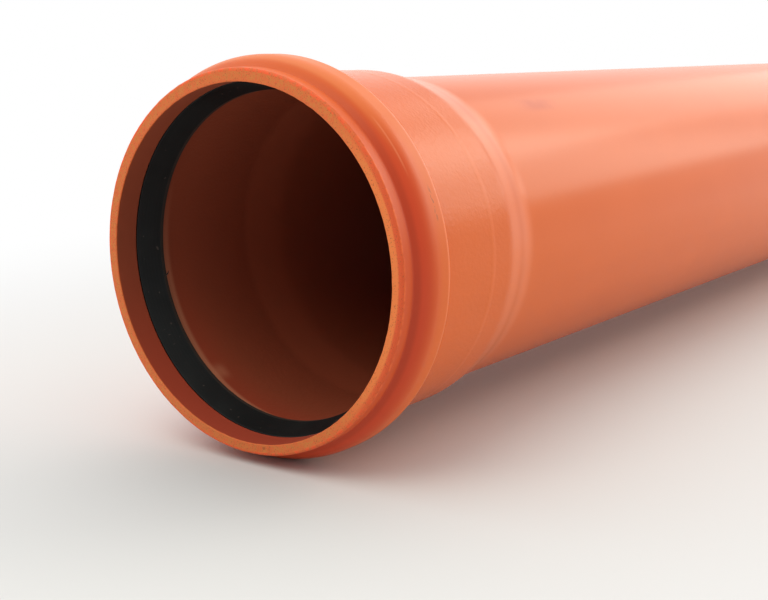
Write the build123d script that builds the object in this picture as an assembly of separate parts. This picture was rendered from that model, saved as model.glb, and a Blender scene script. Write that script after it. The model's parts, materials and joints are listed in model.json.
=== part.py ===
from build123d import *
import os
from math import atan2, radians, sin, tan

# Plastic sewer pipe in millimetres, with a belled socket and a rubber lip seal in the socket's groove.
# The axis runs along +X from the socket's mouth to the spigot end, and the pipe lies on its bead.

# Barrel and spigot end
barrel_diameter = 160.0
wall = 4.0
laying_length = 1000.0
spigot_chamfer_length = 9.0
spigot_chamfer_angle = 15.0

# Inside of the socket, as its mandrel forms it, counted from the mouth
socket_gap = 0.3
socket_depth = 91.0
taper_length = 24.0
entry_step = 1.0
entry_length = 12.8
groove_depth = 8.4
groove_front_run = 5.9
groove_floor_length = 6.7
groove_rear_run = 4.5

# Outside of the lip and the bead
lip_wall = 5.7
lip_length = 7.3
bead_wall = 3.8

# Corners of the pipe's section
mouth_chamfer = 1.0
entry_round = 1.0
valley_round = 1.5
bead_front_round = 8.0
bead_rear_round = 5.0
foot_round = 4.0
socket_end_round = 30.0
taper_end_round = 60.0

# Seal ring
seal_gap = 0.3
lip_bite = 3.3
lip_reach = 11.5
lip_land = 2.0
lip_tip = 1.2
seal_foot_step = 0.7
seal_foot_width = 3.2
recess_length = 5.8
recess_height = 2.4

# Radii
barrel_radius = barrel_diameter / 2
bore_radius = barrel_radius - wall
socket_bore_radius = barrel_radius + socket_gap
socket_radius = socket_bore_radius + wall
entry_radius = socket_bore_radius + entry_step
lip_radius = entry_radius + lip_wall
groove_radius = socket_bore_radius + groove_depth
bead_radius = groove_radius + bead_wall

# Places along the axis, from the mouth
overall_length = laying_length + socket_depth
groove_floor_start = entry_length + groove_front_run
groove_floor_end = groove_floor_start + groove_floor_length
groove_end = groove_floor_end + groove_rear_run
taper_end = socket_depth + taper_length

# Slopes of the flanks and the taper, and how far a wall of that slope moves an outside corner
front_angle = atan2(groove_radius - entry_radius, groove_front_run)
rear_angle = atan2(groove_depth, groove_rear_run)
taper_angle = atan2(socket_bore_radius - bore_radius, taper_length)
front_shift = bead_wall * tan(front_angle / 2)
rear_shift = bead_wall * tan(rear_angle / 2)
taper_shift = wall * tan(taper_angle / 2)


def turned(corners):
    """Turn a closed outline of (place, radius, corner round) rows about the pipe's axis."""
    points = [(place, radius) for place, radius, corner in corners]
    rounds = [corner for place, radius, corner in corners]
    section = Plane.XZ * make_face(FilletPolyline(*points, radius=rounds, close=True))
    return Pos(-overall_length / 2, 0, bead_radius) * revolve(section, Axis.X)


def pipe():
    """Barrel, taper, socket, bead and lip in one wall."""
    chamfer_depth = spigot_chamfer_length * tan(radians(spigot_chamfer_angle))
    outside = [
        (0, lip_radius - mouth_chamfer, 0),
        (mouth_chamfer, lip_radius, 0),
        (lip_length, lip_radius, valley_round),
        (groove_floor_start - front_shift, bead_radius, bead_front_round),
        (groove_floor_end + rear_shift, bead_radius, bead_rear_round),
        (groove_end + rear_shift, socket_radius, foot_round),
        (socket_depth + taper_shift, socket_radius, socket_end_round),
        (taper_end + taper_shift, barrel_radius, taper_end_round),
        (overall_length - spigot_chamfer_length, barrel_radius, 0),
        (overall_length, barrel_radius - chamfer_depth, 0),
    ]
    inside = [
        (overall_length, bore_radius, 0),
        (taper_end, bore_radius, taper_end_round),
        (socket_depth, socket_bore_radius, socket_end_round),
        (groove_end, socket_bore_radius, entry_round),
        (groove_floor_end, groove_radius, 0),
        (groove_floor_start, groove_radius, 0),
        (entry_length, entry_radius, entry_round),
        (mouth_chamfer, entry_radius, 0),
        (0, entry_radius + mouth_chamfer, 0),
    ]
    return turned(outside + inside)


def seal_ring():
    """Rubber ring: a body that fills the groove and a lip that slants in towards the spigot."""
    heel = entry_length + seal_gap / sin(front_angle)
    crown_radius = groove_radius - seal_gap
    crown_start = groove_floor_start + seal_gap * tan(front_angle / 2)
    crown_end = groove_floor_end - seal_gap * tan(rear_angle / 2)
    foot_radius = socket_bore_radius + seal_foot_step
    foot_end = groove_end - seal_gap / sin(rear_angle) - seal_foot_step / tan(rear_angle)
    nose = heel + lip_reach
    nose_radius = barrel_radius - lip_bite
    return turned([
        (heel, entry_radius, 0),
        (crown_start, crown_radius, 0),
        (crown_end, crown_radius, 0),
        (foot_end, foot_radius, 0),
        (foot_end - seal_foot_width, foot_radius, 0),
        (nose - recess_length, foot_radius + recess_height, 0),
        (nose + lip_land, nose_radius + lip_tip, 0),
        (nose + lip_land, nose_radius, 0),
        (nose, nose_radius, 0),
    ])


os.makedirs("parts", exist_ok=True)
export_step(pipe(), "parts/pipe.step")
export_step(seal_ring(), "parts/seal_ring.step")
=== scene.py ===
import json
from collections import namedtuple
from math import atan2, cos, pi, radians, sin, tan

import bpy
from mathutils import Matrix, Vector, noise


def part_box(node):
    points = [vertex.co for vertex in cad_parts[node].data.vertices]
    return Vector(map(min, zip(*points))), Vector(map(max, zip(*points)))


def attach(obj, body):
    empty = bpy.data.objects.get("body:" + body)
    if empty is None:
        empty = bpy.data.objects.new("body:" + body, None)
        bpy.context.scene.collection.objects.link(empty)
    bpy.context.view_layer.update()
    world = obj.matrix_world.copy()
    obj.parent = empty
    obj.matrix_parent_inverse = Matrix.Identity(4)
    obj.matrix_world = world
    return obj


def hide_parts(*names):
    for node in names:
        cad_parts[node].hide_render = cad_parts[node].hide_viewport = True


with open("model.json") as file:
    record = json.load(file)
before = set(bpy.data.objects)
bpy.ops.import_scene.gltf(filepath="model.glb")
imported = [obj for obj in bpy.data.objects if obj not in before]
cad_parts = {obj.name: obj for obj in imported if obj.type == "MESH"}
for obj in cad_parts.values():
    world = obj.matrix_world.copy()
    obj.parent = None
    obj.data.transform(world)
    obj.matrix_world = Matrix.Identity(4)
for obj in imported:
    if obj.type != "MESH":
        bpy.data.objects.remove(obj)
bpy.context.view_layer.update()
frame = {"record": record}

# Sizes taken from the frame, in metres
MM = 0.001
mounts = {mount["name"]: mount for mount in frame["record"]["mounts"]}


def mount_radius(name):
    """Radius of one of the record's round mounts."""
    return mounts[name]["dims"]["r_mm"] * MM


pipe_low, pipe_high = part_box("pipe")
overall_length = pipe_high.x - pipe_low.x
mouth_x = pipe_low.x
bead_radius = (pipe_high.y - pipe_low.y) / 2
axis_height = pipe_low.z + bead_radius
barrel_radius = mount_radius("spigot")
bore_radius = mount_radius("flow_bore")
entry_radius = mount_radius("socket_entry")
nose_radius = mount_radius("socket_seal")
wall = barrel_radius - bore_radius

# Socket sizes that the frame doesn't give, counted from the mouth
socket_gap = 0.3 * MM
socket_depth = 91.0 * MM
taper_length = 24.0 * MM
entry_length = 12.8 * MM
groove_front_run = 5.9 * MM
groove_floor_length = 6.7 * MM
groove_rear_run = 4.5 * MM
lip_wall = 5.7 * MM
lip_length = 7.3 * MM
bead_wall = 3.8 * MM
bead_lead = 3.9 * MM
spigot_chamfer_length = 9.0 * MM
spigot_chamfer_angle = radians(15)

# Sizes of the seal's section
seal_gap = 0.3 * MM
lip_reach = 11.5 * MM
lip_land = 2.0 * MM
lip_tip = 1.2 * MM
seal_foot_step = 0.7 * MM
seal_foot_width = 3.2 * MM
recess_length = 5.8 * MM
recess_height = 2.4 * MM

# Corner rounds
mouth_outer_round = 1.3 * MM
mouth_inner_round = 0.4 * MM
entry_round = 1.0 * MM
valley_round = 1.5 * MM
bead_front_round = 13.0 * MM
bead_rear_round = 5.0 * MM
foot_round = 4.0 * MM
socket_end_round = 30.0 * MM
taper_end_round = 60.0 * MM
groove_round = 1.5 * MM
edge_round = 0.35 * MM

# Shallow ring left on the socket by its forming tool
ring_place = 75.5 * MM
ring_half_width = 2.0 * MM
ring_height = 0.10 * MM
ring_round = 20.0 * MM

# How far the sawn look reaches round the edges of the mouth and of the spigot end
mouth_sawn_depth = 0.8 * MM
spigot_sawn_depth = 0.08 * MM

# Unevenness of the saw's edges, and the size of its bumps along the edge
saw_ragged = 0.12 * MM
saw_ragged_length = 3.0 * MM

# The mouth's inner edge lies a little below the middle, so the lip is thickest at the top
mouth_sway = 0.5 * MM
mouth_sway_angle = radians(-110)

# Thread of flash that hangs from the seal's lip
thread_angle = radians(-168)
thread_root = 0.3 * MM
thread_length = 3.5 * MM
thread_rise = 2.4 * MM
thread_radius = 0.42 * MM

# Derived radii and places
socket_bore_radius = barrel_radius + socket_gap
socket_radius = socket_bore_radius + wall
lip_radius = entry_radius + lip_wall
groove_radius = bead_radius - bead_wall
groove_depth = groove_radius - socket_bore_radius
groove_floor_start = entry_length + groove_front_run
groove_floor_end = groove_floor_start + groove_floor_length
groove_end = groove_floor_end + groove_rear_run
taper_end = socket_depth + taper_length
front_angle = atan2(groove_radius - entry_radius, groove_front_run)
rear_angle = atan2(groove_depth, groove_rear_run)
taper_angle = atan2(socket_bore_radius - bore_radius, taper_length)
front_shift = bead_wall * tan(front_angle / 2)
rear_shift = bead_wall * tan(rear_angle / 2)
taper_shift = wall * tan(taper_angle / 2)
seal_heel = entry_length + seal_gap / sin(front_angle)
seal_nose = seal_heel + lip_reach

# Fineness of the meshes
AROUND = 480
ARC_STEP = radians(6)
LEAST_STEPS = 2
THREAD_STEPS = 8
THREAD_SIDES = 8

Corner = namedtuple("Corner", "place radius round ragged sway", defaults=(0, 0))
Ring = namedtuple("Ring", "place radius normal ragged sway")


def rounded(corners):
    """Rings of a closed outline, in order, with each corner drawn as an arc."""
    rings = []
    for index, corner in enumerate(corners):
        here = Vector((corner.place, corner.radius))
        before = Vector(corners[index - 1][:2])
        after = Vector(corners[(index + 1) % len(corners)][:2])
        incoming = (here - before).normalized()
        outgoing = (after - here).normalized()
        turn = incoming.angle_signed(outgoing)
        side = 1 if turn > 0 else -1
        inward = Vector((incoming.y, -incoming.x)) * side
        start = here - incoming * corner.round * tan(abs(turn) / 2)
        centre = start + inward * corner.round
        steps = max(LEAST_STEPS, int(abs(turn) / ARC_STEP) + 1)
        for step in range(steps + 1):
            swing = -turn * step / steps
            arm = Vector((
                -inward.x * cos(swing) + inward.y * sin(swing),
                -inward.x * sin(swing) - inward.y * cos(swing),
            ))
            point = centre + arm * corner.round
            rings.append(Ring(point.x, point.y, arm * side, corner.ragged, corner.sway))
    return rings


def pipe_rings():
    """Section of the pipe's wall, from the mouth along the outside and back along the inside."""
    chamfer_depth = spigot_chamfer_length * tan(spigot_chamfer_angle)
    outside = [
        Corner(0, lip_radius, mouth_outer_round, saw_ragged),
        Corner(lip_length, lip_radius, valley_round),
        Corner(groove_floor_start - front_shift - bead_lead, bead_radius, bead_front_round),
        Corner(groove_floor_end + rear_shift, bead_radius, bead_rear_round),
        Corner(groove_end + rear_shift, socket_radius, foot_round),
        Corner(ring_place - ring_half_width, socket_radius, ring_round),
        Corner(ring_place, socket_radius + ring_height, ring_round),
        Corner(ring_place + ring_half_width, socket_radius, ring_round),
        Corner(socket_depth + taper_shift, socket_radius, socket_end_round),
        Corner(taper_end + taper_shift, barrel_radius, taper_end_round),
        Corner(overall_length - spigot_chamfer_length, barrel_radius, edge_round),
        Corner(overall_length, barrel_radius - chamfer_depth, edge_round, saw_ragged),
    ]
    inside = [
        Corner(overall_length, bore_radius, edge_round, saw_ragged),
        Corner(taper_end, bore_radius, taper_end_round),
        Corner(socket_depth, socket_bore_radius, socket_end_round),
        Corner(groove_end, socket_bore_radius, entry_round),
        Corner(groove_floor_end, groove_radius, groove_round),
        Corner(groove_floor_start, groove_radius, groove_round),
        Corner(entry_length, entry_radius, entry_round),
        Corner(0, entry_radius, mouth_inner_round, saw_ragged, mouth_sway),
    ]
    return rounded(outside + inside)


def seal_rings():
    """Section of the seal ring."""
    crown_radius = groove_radius - seal_gap
    crown_start = groove_floor_start + seal_gap * tan(front_angle / 2)
    crown_end = groove_floor_end - seal_gap * tan(rear_angle / 2)
    foot_radius = socket_bore_radius + seal_foot_step
    foot_end = groove_end - seal_gap / sin(rear_angle) - seal_foot_step / tan(rear_angle)
    lip_end = seal_nose + lip_land
    return rounded([
        Corner(seal_heel, entry_radius, edge_round),
        Corner(crown_start, crown_radius, groove_round),
        Corner(crown_end, crown_radius, groove_round),
        Corner(foot_end, foot_radius, edge_round),
        Corner(foot_end - seal_foot_width, foot_radius, edge_round),
        Corner(seal_nose - recess_length, foot_radius + recess_height, edge_round),
        Corner(lip_end, nose_radius + lip_tip, edge_round),
        Corner(lip_end, nose_radius, edge_round),
        Corner(seal_nose, nose_radius, edge_round),
    ])


def on_pipe(place, radius, angle):
    """Point of the row frame from its place along the pipe, its radius and its angle from the -Y side up."""
    return Vector((mouth_x + place, -radius * cos(angle), axis_height + radius * sin(angle)))


def uneven_radius(ring, angle):
    """Radius of a ring at one angle, with the saw's unevenness and the mouth's sway."""
    if not ring.ragged:
        return ring.radius
    spot = Vector((ring.radius * cos(angle), ring.radius * sin(angle), ring.place)) / saw_ragged_length
    return ring.radius + ring.ragged * noise.noise(spot) + ring.sway * cos(angle - mouth_sway_angle)


def turned(rings):
    """Points, normals and faces of an outline turned about the pipe's axis."""
    points = []
    normals = []
    faces = []
    for number, ring in enumerate(rings):
        near = number * AROUND
        far = (number + 1) % len(rings) * AROUND
        for spoke in range(AROUND):
            angle = 2 * pi * spoke / AROUND
            points.append(on_pipe(ring.place, uneven_radius(ring, angle), angle))
            normals.append(Vector((ring.normal.x, -ring.normal.y * cos(angle), ring.normal.y * sin(angle))))
            after = (spoke + 1) % AROUND
            faces.append((near + spoke, far + spoke, far + after, near + after))
    return points, normals, faces


def flash_thread(first):
    """Points, normals and faces of a closed tapered thread on the lip, numbered from first."""
    root = on_pipe(seal_nose + lip_land / 2, nose_radius + thread_root, thread_angle)
    inward = (on_pipe(seal_nose + lip_land / 2, 0, thread_angle) - root).normalized()
    along = Vector((1, 0, 0))
    around = inward.cross(along)
    tip = root + inward * thread_length + around * thread_rise
    points = [root, tip]
    ends = len(points)
    normals = [-inward, (tip - root).normalized()]
    faces = []
    for step in range(THREAD_STEPS):
        share = step / THREAD_STEPS
        middle = root + inward * thread_length * share + around * thread_rise * share ** 2
        radius = thread_radius * (1 - share ** 3)
        near = first + ends + step * THREAD_SIDES
        far = near + THREAD_SIDES
        for side in range(THREAD_SIDES):
            angle = 2 * pi * side / THREAD_SIDES
            out = along * cos(angle) + around * sin(angle)
            points.append(middle + out * radius)
            normals.append(out)
            after = (side + 1) % THREAD_SIDES
            if step == 0:
                faces.append((first, near + after, near + side))
            if step == THREAD_STEPS - 1:
                faces.append((near + side, near + after, first + 1))
            else:
                faces.append((near + side, near + after, far + after, far + side))
    return points, normals, faces


def piece(name, shape, materials, node):
    """Mesh object that rides on the pipe and stands for a CAD node."""
    points, normals, faces = shape
    mesh = bpy.data.meshes.new(name)
    mesh.from_pydata(points, [], faces)
    mesh.shade_smooth()
    mesh.normals_split_custom_set_from_vertices(normals)
    for material in materials:
        mesh.materials.append(material)
    made = bpy.data.objects.new(name, mesh)
    bpy.context.scene.collection.objects.link(made)
    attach(made, "root")
    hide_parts(node)
    return made


# Numbers of a colour mix's sockets: its colours come after those for numbers and vectors
MIX_SHARE = 0
MIX_FIRST = 6
MIX_SECOND = 7
MIX_RESULT = 2


class Tree:
    """Short calls that build one node tree."""

    def __init__(self, owner):
        owner.use_nodes = True
        self.tree = owner.node_tree
        self.tree.nodes.clear()

    def feed(self, socket, value):
        """Link a socket to another one, or set its value."""
        if isinstance(value, bpy.types.NodeSocket):
            self.tree.links.new(value, socket)
        else:
            socket.default_value = value

    def add(self, kind, *values, out=0, named=None, **settings):
        """New node with its settings and inputs; returns one of its outputs."""
        node = self.tree.nodes.new("ShaderNode" + kind)
        for setting, value in settings.items():
            setattr(node, setting, value)
        for socket, value in zip(node.inputs, values):
            self.feed(socket, value)
        for socket, value in (named or {}).items():
            self.feed(node.inputs[socket], value)
        return node.outputs[out] if len(node.outputs) else node

    def split(self, vector):
        """Outputs X, Y and Z of a vector."""
        node = self.tree.nodes.new("ShaderNodeSeparateXYZ")
        self.feed(node.inputs[0], vector)
        return node.outputs

    def math(self, operation, *values):
        """One step of arithmetic."""
        return self.add("Math", *values, operation=operation)

    def product(self, first, *others):
        """Product of two or more values."""
        for other in others:
            first = self.math("MULTIPLY", first, other)
        return first

    def weighted(self, *pairs):
        """Sum of values, each times its share."""
        total = 0.0
        for value, share in pairs:
            total = self.math("MULTIPLY_ADD", value, share, total)
        return total

    def ramp(self, value, low, high, first=0.0, last=1.0):
        """Smooth step from first to last as the value goes from low to high."""
        return self.add("MapRange", value, low, high, first, last, interpolation_type="SMOOTHSTEP")

    def band(self, value, middle, inner, outer):
        """One within inner of the middle, falling to zero at outer."""
        away = self.math("ABSOLUTE", self.math("SUBTRACT", value, middle))
        return self.ramp(away, inner, outer, 1.0, 0.0)

    def towards(self, angle, middle):
        """Cosine of an angle's distance from a middle one."""
        return self.math("COSINE", self.math("SUBTRACT", angle, middle))

    def mix(self, share, first, second):
        """Colour between two colours."""
        named = {MIX_SHARE: share, MIX_FIRST: first, MIX_SECOND: second}
        return self.add("Mix", named=named, out=MIX_RESULT, data_type="RGBA")

    def grain(self, vector, scale, detail=2.0, roughness=0.5):
        """Noise between 0 and 1; its scale counts cells to a unit of the coordinates."""
        named = {"Vector": vector, "Scale": scale, "Detail": detail, "Roughness": roughness}
        return self.add("TexNoise", named=named)

    def stretched(self, vector, *scale):
        """Coordinates scaled apart along X, Y and Z."""
        return self.add("VectorMath", vector, scale, operation="MULTIPLY")

    def output(self, shader, kind="OutputMaterial"):
        """End of the tree."""
        self.add(kind, shader)


Spot = namedtuple("Spot", "point place angle radius inward")

# A surface counts as inside where its normal leans this far towards the axis, as a cosine
inward_start = 0.2
inward_full = 0.6


def pipe_coordinates(tree):
    """Where a point lies: coordinates, place from the mouth, angle, radius and whether it faces the axis."""
    point = tree.add("TexCoord", out="Object")
    parts = tree.split(point)
    across = tree.math("MULTIPLY", parts["Y"], -1.0)
    above = tree.math("SUBTRACT", parts["Z"], axis_height)
    place = tree.math("SUBTRACT", parts["X"], mouth_x)
    angle = tree.math("ARCTAN2", above, across)
    square = tree.math("MULTIPLY_ADD", across, across, tree.math("MULTIPLY", above, above))
    arm = tree.add("VectorMath", tree.stretched(point, 0, 1, 1), (0, 0, axis_height), operation="SUBTRACT")
    normal = tree.add("NewGeometry", out="Normal")
    facing = tree.add("VectorMath", normal, arm, out="Value", operation="DOT_PRODUCT")
    inward = tree.ramp(facing, -inward_full * bore_radius, -inward_start * bore_radius, 1.0, 0.0)
    return Spot(point, place, angle, tree.math("SQRT", square), inward)


# Colours, linear
pvc_deep = (0.72, 0.129, 0.014, 1)
pvc_light = (0.77, 0.143, 0.018, 1)
# Painted shade: redder colour for the lip and the front of the bead
shade_red = (0.62, 0.062, 0.016, 1)
# Painted shade for the crease between the lip and the bead
valley_shade = (0.34, 0.034, 0.010, 1)
# Painted highlight colour for the neck, the bead's rear edge and the ring
highlight_pale = (0.86, 0.195, 0.050, 1)
# Paler colour on the bead's top: painted light from above, partly whitening of the stretched plastic
bloom_and_light_pale = (0.80, 0.195, 0.046, 1)
# Painted shade: the bore darker than the outside
bore_shade_brown = (0.33, 0.075, 0.036, 1)
# Painted light: redder, lighter colour low in the bore near the mouth
bore_lit_red = (0.43, 0.066, 0.033, 1)
bore_dust = (0.66, 0.27, 0.15, 1)
streak_light = (0.86, 0.30, 0.14, 1)
scuff_brown = (0.28, 0.080, 0.030, 1)
smudge_brown = (0.60, 0.084, 0.006, 1)
sawn_ochre = (0.66, 0.215, 0.052, 1)
sawn_orange = (0.74, 0.145, 0.040, 1)
# Painted light: lighter, golden colour for the sawn face on the -Y side
sawn_lit_gold = (0.92, 0.240, 0.062, 1)
sawn_red = (0.92, 0.125, 0.034, 1)
sawn_speck = (0.37, 0.082, 0.025, 1)
lip_orange = (0.84, 0.145, 0.032, 1)
lip_worn = (0.74, 0.105, 0.030, 1)
rubber_black = (0.0030, 0.0046, 0.0050, 1)
rubber_grey = (0.0062, 0.0084, 0.0086, 1)
# Dust specks on the rubber; also the colour of the painted highlight on the lip's nose
rubber_dust_and_sheen = (0.075, 0.060, 0.050, 1)

# Refraction, and how strongly each surface mirrors
plastic_ior = 1.5
pvc_specular = 0.25
sawn_specular = 0.3
rubber_specular = 0.28

# Below, a pair is where a change starts and ends; a band is a middle, its full half width and its whole one

# Mottling of the plastic: clouds, draw lines along the pipe and a fine grain
cloud_scale = 9.0
cloud_detail = 3.0
draw_stretch = (1.5, 60.0, 60.0)
draw_detail = 1.0
fine_scale = 900.0
cloud_share = 0.65
fine_share = 0.15
draw_share = 0.20
mottle_limits = (0.30, 0.70)

# Roughness of the plastic: the least, how far the mottling moves it, and more in the bore and on the bead
rough_least = 0.215
rough_swing = 0.05
rough_cloud_share = 0.8
rough_draw_share = 0.2
bore_rough = 0.15
bead_rough = 0.14
bead_rough_end = (26.0 * MM, 38.0 * MM)

# Orange peel on the socket, with the places where it comes and goes, and the fine grain under it
peel_scale = 520.0
peel_roughness = 0.6
peel_start = (28.0 * MM, 36.0 * MM)
peel_end = (78.0 * MM, 112.0 * MM)
fine_height = 0.01
pvc_bump = 0.8
pvc_bump_depth = 0.2 * MM

# Painted shade: deeper colour on the lip and the front of the bead, strongest low on the -Y side and fading
# to the crest, and darker in the crease between them
flank_start = 5.0 * MM
flank_full = 8.0 * MM
flank_fade = 10.0 * MM
flank_end = 23.5 * MM
flank_angle = radians(-20)
flank_turn = (-0.2, 0.8)
flank_least_share = 0.15
lip_share = 0.6
valley_band = (8.2 * MM, 0.4 * MM, 2.4 * MM)
valley_share = 0.4

# Chipped orange edge outside the sawn face
lip_edge = (0.4 * MM, 2.6 * MM)
chip_scale = 330.0
chip_limits = (0.36, 0.60)

# Paler bands on the neck, on the bead's top, along its rear edge and on the ring: painted highlights, and on
# the bead's top painted light from above, partly whitening of the stretched plastic
neck_bands = ((98.0 * MM, 1.0 * MM, 8.0 * MM), (113.0 * MM, 1.0 * MM, 8.0 * MM))
neck_share = 0.55
bloom_and_light_band = (18.5 * MM, 6.0 * MM, 8.5 * MM)
bloom_and_light_rise = (0.5, 0.97)
bloom_and_light_share = 0.85
crest_band = (26.4 * MM, 0.4 * MM, 1.4 * MM)
crest_share = 0.9
ring_band = (ring_place, 0.5 * MM, 2.2 * MM)
ring_share = 0.3

# Bore, painted darker than the outside as shade: where it starts, the redder, lighter part low near the mouth
# as painted light, the dust line behind the seal and a pale wipe
bore_start = (0.2 * MM, 0.9 * MM)
red_reach = (16.0 * MM, 60.0 * MM)
red_fall = (-0.95, 0.1)
dust_band = (30.5 * MM, 1.5 * MM, 4.5 * MM)
dust_angle = radians(-130)
dust_turn = (0.2, 0.97)
dust_share = 0.7
wipe_place = (35.0 * MM, 2.0 * MM, 8.0 * MM)
wipe_angle = (radians(-128), radians(0.5), radians(5))
wipe_share = 0.4

# Marks of handling: places from the mouth and angles from the -Y side up
streak_band = (12.9 * MM, 0.15 * MM, 0.6 * MM)
streak_start = (radians(27), radians(34))
streak_end = (radians(44), radians(49))
streak_share = 0.3
scuff_place = (21.8 * MM, 0.3 * MM, 1.1 * MM)
scuff_angle = (radians(20), radians(2), radians(6))
scuff_share = 0.8
blot_stretch = (900.0, 420.0, 420.0)
blot_limits = (0.48, 0.62)
smudge_place = (180.0 * MM, 6.0 * MM, 26.0 * MM)
smudge_angle = (radians(55), radians(0.8), radians(5))
smudge_share = 0.8
smudge_scale = 90.0
smudge_limits = (0.30, 0.65)
smudge_least_share = 0.5


def outside_painted_light_and_edge(tree, spot, colour):
    """Painted shade, painted highlights and painted light from above outside the socket, partly whitening on
    the bead's top, with the chipped orange edge by the mouth.
    """
    # Painted shade: deeper red on the lip and the bead's front, strongest low on the -Y side
    shaded = tree.ramp(tree.towards(spot.angle, flank_angle), *flank_turn, flank_least_share, 1.0)
    lip = tree.ramp(spot.place, flank_start, flank_full, lip_share, 1.0)
    fading = tree.ramp(spot.place, flank_fade, flank_end, 1.0, 0.0)
    colour = tree.mix(tree.product(lip, shaded, fading), colour, shade_red)
    chipped = tree.ramp(tree.grain(spot.point, chip_scale), *chip_limits)
    edge = tree.product(tree.ramp(spot.place, *lip_edge, 1.0, 0.0), chipped)
    colour = tree.mix(edge, colour, lip_orange)
    # Painted shade in the crease between the lip and the bead
    valley = tree.product(tree.band(spot.place, *valley_band), shaded, valley_share)
    colour = tree.mix(valley, colour, valley_shade)
    # Painted highlights: paler bands on the neck
    for neck_band in neck_bands:
        neck = tree.product(tree.band(spot.place, *neck_band), neck_share)
        colour = tree.mix(neck, colour, highlight_pale)
    # Painted light on the bead's top, partly whitening of the stretched plastic
    upper = tree.ramp(tree.math("SINE", spot.angle), *bloom_and_light_rise, 0.0, bloom_and_light_share)
    colour = tree.mix(tree.product(tree.band(spot.place, *bloom_and_light_band), upper), colour, bloom_and_light_pale)
    # Painted highlight along the bead's rear edge
    crest = tree.product(tree.band(spot.place, *crest_band), crest_share)
    colour = tree.mix(crest, colour, highlight_pale)
    # Painted highlight along the ring
    ring = tree.product(tree.band(spot.place, *ring_band), ring_share)
    return tree.mix(ring, colour, highlight_pale)


def bore_colours(tree, spot, colour, bore):
    """Bore in a darker brown as painted shade, redder and lighter low near the mouth as painted light, with
    dust behind the seal and a pale wipe.
    """
    # Painted shade: the whole bore in a darker brown
    colour = tree.mix(bore, colour, bore_shade_brown)
    # Painted light on the bore's bottom near the mouth, where light falls in
    low = tree.ramp(tree.math("SINE", spot.angle), *red_fall, 1.0, 0.0)
    front = tree.product(tree.ramp(spot.place, *red_reach, 1.0, 0.0), low, bore)
    colour = tree.mix(front, colour, bore_lit_red)
    swept = tree.ramp(tree.towards(spot.angle, dust_angle), *dust_turn)
    dust = tree.product(tree.band(spot.place, *dust_band), swept, bore, dust_share)
    colour = tree.mix(dust, colour, bore_dust)
    wipe = tree.product(tree.band(spot.place, *wipe_place), tree.band(spot.angle, *wipe_angle), bore)
    return tree.mix(tree.product(wipe, wipe_share), colour, bore_dust)


def handling_marks(tree, spot, colour):
    """Pale streak and brown scuffs on the bead, and a smudge on the barrel."""
    along = tree.product(tree.ramp(spot.angle, *streak_start), tree.ramp(spot.angle, *streak_end, 1.0, 0.0))
    streak = tree.product(tree.band(spot.place, *streak_band), along, streak_share)
    colour = tree.mix(streak, colour, streak_light)
    blot = tree.ramp(tree.grain(tree.stretched(spot.point, *blot_stretch), 1.0), *blot_limits)
    scuff = tree.product(tree.band(spot.place, *scuff_place), tree.band(spot.angle, *scuff_angle), blot)
    colour = tree.mix(tree.product(scuff, scuff_share), colour, scuff_brown)
    patchy = tree.ramp(tree.grain(spot.point, smudge_scale), *smudge_limits, smudge_least_share, 1.0)
    smudge = tree.product(tree.band(spot.place, *smudge_place), tree.band(spot.angle, *smudge_angle), patchy)
    return tree.mix(tree.product(smudge, smudge_share), colour, smudge_brown)


def finish_shader(tree, colour, rough, height, strength, depth, specular):
    """Shader of a colour, a roughness and a relief of some strength and depth, as the tree's output."""
    bump = tree.add("Bump", named={"Strength": strength, "Distance": depth, "Height": height})
    tree.output(tree.add("BsdfPrincipled", named={
        "Base Color": colour,
        "Roughness": rough,
        "Normal": bump,
        "IOR": plastic_ior,
        "Specular IOR Level": specular,
    }))


def pvc_material():
    """Satin orange plastic with mottling, draw lines, orange peel on the socket, marks of handling, and
    painted shade and highlights.
    """
    material = bpy.data.materials.new("pvc")
    tree = Tree(material)
    spot = pipe_coordinates(tree)
    cloud = tree.grain(spot.point, cloud_scale, cloud_detail)
    draw = tree.grain(tree.stretched(spot.point, *draw_stretch), 1.0, draw_detail)
    fine = tree.grain(spot.point, fine_scale)
    shade = tree.weighted((cloud, cloud_share), (fine, fine_share), (draw, draw_share))
    colour = tree.mix(tree.ramp(shade, *mottle_limits), pvc_deep, pvc_light)
    bore = tree.product(spot.inward, tree.ramp(spot.place, *bore_start))
    colour = outside_painted_light_and_edge(tree, spot, colour)
    colour = bore_colours(tree, spot, colour, bore)
    colour = handling_marks(tree, spot, colour)

    socket = tree.product(tree.ramp(spot.place, *peel_start), tree.ramp(spot.place, *peel_end, 1.0, 0.0))
    peel = tree.product(tree.grain(spot.point, peel_scale, roughness=peel_roughness), socket)
    height = tree.weighted((fine, fine_height), (peel, 1.0))

    drawn = tree.weighted((cloud, rough_cloud_share), (draw, rough_draw_share))
    rough = tree.math("MULTIPLY_ADD", drawn, rough_swing, rough_least)
    rough = tree.math("MULTIPLY_ADD", bore, bore_rough, rough)
    rough = tree.math("ADD", rough, tree.ramp(spot.place, *bead_rough_end, bead_rough, 0.0))
    finish_shader(tree, colour, rough, height, pvc_bump, pvc_bump_depth, pvc_specular)
    return material


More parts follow.
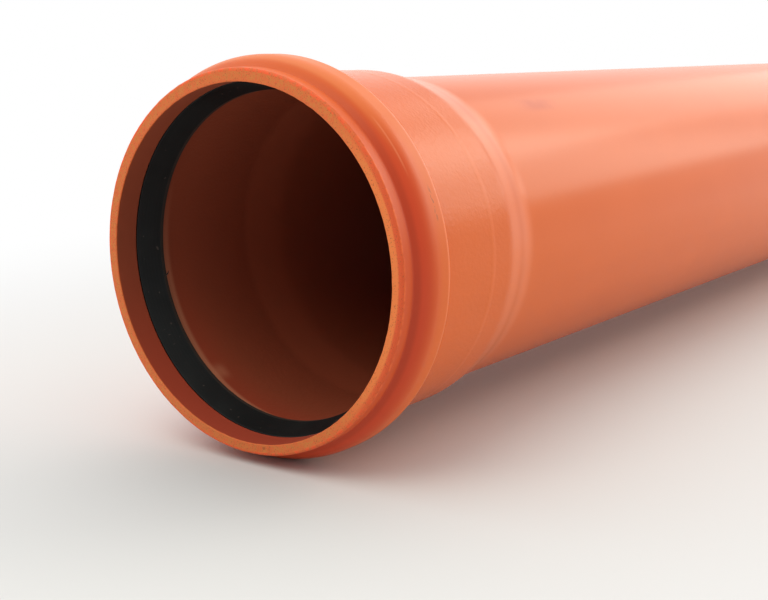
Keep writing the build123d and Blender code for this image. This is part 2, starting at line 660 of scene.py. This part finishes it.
# Sawn ends: grain and coarse tearing, with their shares in the ochre and in the relief
sawn_scale = 1100.0
sawn_detail = 3.0
sawn_roughness = 0.65
torn_scale = 330.0
ochre_grain_share = 0.6
ochre_coarse_share = 0.4
ochre_limits = (0.40, 0.62)
ochre_rise = 2.6 * MM
ochre_inner = 1.4 * MM
ochre_outer = 2.6 * MM
ochre_band = (entry_radius + ochre_rise, ochre_inner, ochre_outer)
ochre_least_share = 0.3
sawn_bump = 0.6
sawn_bump_depth = 0.25 * MM
relief_grain_share = 0.7
relief_coarse_share = 0.5
sawn_rough = 0.55
sawn_rough_swing = 0.2

# Golden inner part on the -Y side, lighter there as painted light, and worn outer part on the -Y side, the
# torn edge, the specks and one nick
gold_turn = (0.55, 0.95)
gold_share = 0.7
torn_start = 1.9 * MM
torn_full = 1.2 * MM
torn_radii = (lip_radius - torn_start, lip_radius - torn_full)
torn_limits = (0.40, 0.60)
worn_start = 3.0 * MM
worn_full = 1.8 * MM
worn_radii = (lip_radius - worn_start, lip_radius - worn_full)
speck_scale = 1900.0
speck_detail = 1.0
speck_limits = (0.60, 0.72)
speck_share = 0.7
nick_angle = (radians(-83), radians(0.2), radians(0.9))
nick_radius = (83.4 * MM, 0.3 * MM, 0.9 * MM)
nick_share = 0.8


def sawn_material():
    """Sawn end: ochre grain with dark specks, golden and lighter on the -Y side as painted light, with a torn
    red edge outside.
    """
    material = bpy.data.materials.new("sawn_pvc")
    tree = Tree(material)
    spot = pipe_coordinates(tree)
    grain = tree.grain(spot.point, sawn_scale, sawn_detail, sawn_roughness)
    coarse = tree.grain(spot.point, torn_scale)
    ochre = tree.ramp(tree.weighted((coarse, ochre_coarse_share), (grain, ochre_grain_share)), *ochre_limits)
    middle = tree.band(spot.radius, *ochre_band)
    spread = tree.math("MULTIPLY_ADD", middle, 1 - ochre_least_share, ochre_least_share)
    colour = tree.mix(tree.product(ochre, spread), sawn_orange, sawn_ochre)
    # Painted light: the sawn face lighter and golden on the -Y side
    near = tree.ramp(tree.math("COSINE", spot.angle), *gold_turn)
    colour = tree.mix(tree.product(near, gold_share), colour, sawn_lit_gold)
    torn = tree.product(tree.ramp(spot.radius, *torn_radii), tree.ramp(coarse, *torn_limits))
    colour = tree.mix(torn, colour, sawn_red)
    worn = tree.product(tree.ramp(spot.radius, *worn_radii), near)
    colour = tree.mix(worn, colour, lip_worn)
    specks = tree.ramp(tree.grain(spot.point, speck_scale, speck_detail), *speck_limits)
    colour = tree.mix(tree.product(specks, speck_share), colour, sawn_speck)
    nick = tree.product(tree.band(spot.angle, *nick_angle), tree.band(spot.radius, *nick_radius))
    colour = tree.mix(tree.product(nick, nick_share), colour, sawn_speck)
    height = tree.weighted((coarse, relief_coarse_share), (grain, relief_grain_share))
    rough = tree.math("MULTIPLY_ADD", grain, sawn_rough_swing, sawn_rough)
    finish_shader(tree, colour, rough, height, sawn_bump, sawn_bump_depth, sawn_specular)
    return material


# Rubber: grey clouds, dust specks, a painted highlight on the lip edge and the moulding lines
rubber_cloud_scale = 45.0
rubber_cloud_detail = 3.0
rubber_cloud_limits = (0.35, 0.65)
rubber_fine_scale = 1300.0
dust_scale = 420.0
dust_detail = 0.0
dust_limits = (0.80, 0.86)
dust_speck_share = 0.7
# Painted highlight along the nose of the seal's lip
lip_highlight_before = 0.5 * MM
lip_highlight_past = 0.3 * MM
lip_highlight = (seal_nose - lip_highlight_before, seal_nose + lip_highlight_past)
lip_highlight_share = 0.5
mould_spacing = 1.6 * MM
mould_height = 0.25
rubber_fine_height = 0.5
rubber_bump = 0.5
rubber_bump_depth = 0.06 * MM
rubber_rough = 0.42
rubber_rough_swing = 0.2


def rubber_material():
    """Matt black rubber with moulding lines, grey clouds, dust specks and a painted highlight on the lip
    edge.
    """
    material = bpy.data.materials.new("rubber")
    tree = Tree(material)
    spot = pipe_coordinates(tree)
    cloud = tree.grain(spot.point, rubber_cloud_scale, rubber_cloud_detail)
    fine = tree.grain(spot.point, rubber_fine_scale)
    colour = tree.mix(tree.ramp(cloud, *rubber_cloud_limits), rubber_black, rubber_grey)
    dust = tree.ramp(tree.grain(spot.point, dust_scale, dust_detail), *dust_limits)
    colour = tree.mix(tree.product(dust, dust_speck_share), colour, rubber_dust_and_sheen)
    # Painted highlight on the nose of the seal's lip
    edge = tree.ramp(spot.place, *lip_highlight)
    colour = tree.mix(tree.product(edge, lip_highlight_share), colour, rubber_dust_and_sheen)
    lines = tree.math("SINE", tree.math("MULTIPLY", spot.place, 2 * pi / mould_spacing))
    height = tree.weighted((fine, rubber_fine_height), (lines, mould_height))
    rough = tree.math("MULTIPLY_ADD", cloud, rubber_rough_swing, rubber_rough)
    finish_shader(tree, colour, rough, height, rubber_bump, rubber_bump_depth, rubber_specular)
    return material


def add_pipe():
    """Pipe wall with its sawn end faces."""
    rings = pipe_rings()
    materials = [pvc_material(), sawn_material()]
    sawn_number = len(materials) - 1
    pipe = piece("pipe_shell", turned(rings), materials, "pipe")
    for number, ring in enumerate(rings):
        after = rings[(number + 1) % len(rings)]
        at_mouth = max(ring.place, after.place) < mouth_sawn_depth
        at_spigot = min(ring.place, after.place) > overall_length - spigot_sawn_depth
        if at_mouth or at_spigot:
            for polygon in pipe.data.polygons[number * AROUND:(number + 1) * AROUND]:
                polygon.material_index = sawn_number


def add_seal():
    """Rubber ring with its thread of flash."""
    points, normals, faces = turned(seal_rings())
    thread_points, thread_normals, thread_faces = flash_thread(len(points))
    shape = (points + thread_points, normals + thread_normals, faces + thread_faces)
    piece("lip_seal", shape, [rubber_material()], "seal_ring")


add_pipe()
add_seal()

# Floor: its half size, its colour near the pipe, and how far from the pipe it fades to the white surroundings
floor_half = 20.0
floor_pale = (0.67, 0.67, 0.67, 1)
fade_start = 0.12
fade_end = 0.65
white = (1, 1, 1, 1)
white_glow = 1.0


def seen_directly(tree):
    """One for camera, glossy and transmission rays, which see the white surroundings."""
    path = tree.tree.nodes.new("ShaderNodeLightPath").outputs
    glossy = tree.math("MAXIMUM", path["Is Glossy Ray"], path["Is Transmission Ray"])
    return tree.math("MAXIMUM", path["Is Camera Ray"], glossy)


def add_floor():
    """Pale floor that looks white and keeps the pipe's shadow."""
    material = bpy.data.materials.new("floor_paint")
    tree = Tree(material)
    seen = seen_directly(tree)
    paint = tree.add("BsdfDiffuse", floor_pale)
    parts = tree.split(tree.add("TexCoord", out="Object"))
    beyond = tree.math("SUBTRACT", tree.math("ABSOLUTE", parts["X"]), overall_length / 2)
    beyond = tree.math("MAXIMUM", beyond, 0.0)
    aside = parts["Y"]
    square = tree.math("MULTIPLY_ADD", aside, aside, tree.math("MULTIPLY", beyond, beyond))
    far = tree.product(tree.ramp(tree.math("SQRT", square), fade_start, fade_end), seen)
    tree.output(tree.add("MixShader", far, paint, tree.add("Emission", white, white_glow)))
    material.cycles.emission_sampling = "NONE"
    corners = [
        (-floor_half, -floor_half, 0),
        (floor_half, -floor_half, 0),
        (floor_half, floor_half, 0),
        (-floor_half, floor_half, 0),
    ]
    mesh = bpy.data.meshes.new("floor")
    mesh.from_pydata(corners, [], [(0, 1, 2, 3)])
    mesh.materials.append(material)
    floor = bpy.data.objects.new("floor", mesh)
    bpy.context.scene.collection.objects.link(floor)


add_floor()

# Lamps, all of one warm tint: place, the point that it faces, size and brightness
lamp_warm = (1.0, 0.97, 0.83)
socket_side = (-0.35, 0, 0.1)
spigot_side = (0.25, 0, 0.1)
mouth_middle = (-0.545, 0, 0.09)
lamps = {
    "side_strip": ((1.757, -1.266, 0.876), socket_side, (1.39, 0.69), 2.0),
    "side_panel": ((1.557, -1.057, 1.516), socket_side, (1.49, 0.73), 3.7),
    "back_panel": ((2.1, 0.13, 1.2), socket_side, (0.85, 1.9), 0.9),
    "far_panel": ((1.877, 1.184, 0.729), socket_side, (1.3, 1.0), 0.2),
    "right_box": ((0.25, -1.0, 0.45), spigot_side, (0.6, 0.5), 2.0),
    "front_top": ((-1.09, 0.0, 0.85), mouth_middle, (0.6, 0.6), 2.6),
}

# Soft glows of the surroundings, which only diffuse light sees: direction and strength
glows = [
    ((1, 0, 0), 0.45),
    ((0, -1, 0), 0.6),
    ((0, 1, 0), 0.25),
    ((-0.35, 0.35, 0.87), 0.95),
    ((0.7, 0.45, 0.55), 1.5),
]


def add_lamp(name, place, target, size, radiance):
    """Soft box at a place, facing a target, with a given brightness."""
    light = bpy.data.lights.new(name, "AREA")
    light.shape = "RECTANGLE"
    light.size, light.size_y = size
    light.energy = radiance * pi * size[0] * size[1]
    light.color = lamp_warm
    lamp = bpy.data.objects.new(name, light)
    lamp.location = place
    lamp.rotation_euler = (Vector(target) - Vector(place)).to_track_quat("-Z", "Y").to_euler()
    lamp.visible_camera = False
    bpy.context.scene.collection.objects.link(lamp)


def add_world():
    """White surroundings; for diffuse light, soft glows, each from its own direction."""
    world = bpy.data.worlds.new("studio")
    bpy.context.scene.world = world
    tree = Tree(world)
    way = tree.add("TexCoord", out="Generated")
    total = 0.0
    for direction, strength in glows:
        towards = Vector(direction).normalized()
        along = tree.add("VectorMath", way, towards, out="Value", operation="DOT_PRODUCT")
        facing = tree.math("MAXIMUM", along, 0.0)
        total = tree.math("MULTIPLY_ADD", tree.product(facing, facing), strength, total)
    soft = tree.add("Background", white, total)
    surround = tree.add("Background", white, white_glow)
    tree.output(tree.add("MixShader", seen_directly(tree), soft, surround), "OutputWorld")


for name, values in lamps.items():
    add_lamp(name, *values)
add_world()

# Camera at the photograph's place, found from the mouth's ellipse and the barrel's edges
camera_lens = 60.7
camera_sensor = 36
camera_reach = 100
camera_from_mouth = (-0.4232, -0.3834, 0.0977)
camera_look = (0.7946, 0.5748, -0.1956)

camera_data = bpy.data.cameras.new("camera")
camera_data.lens = camera_lens
camera_data.sensor_width = camera_sensor
camera_data.clip_end = camera_reach
camera = bpy.data.objects.new("camera", camera_data)
camera.location = Vector((mouth_x, 0, axis_height)) + Vector(camera_from_mouth)
camera.rotation_euler = Vector(camera_look).to_track_quat("-Z", "Y").to_euler()
bpy.context.scene.collection.objects.link(camera)
bpy.context.scene.camera = camera

bpy.context.scene.view_settings.view_transform = "Standard"
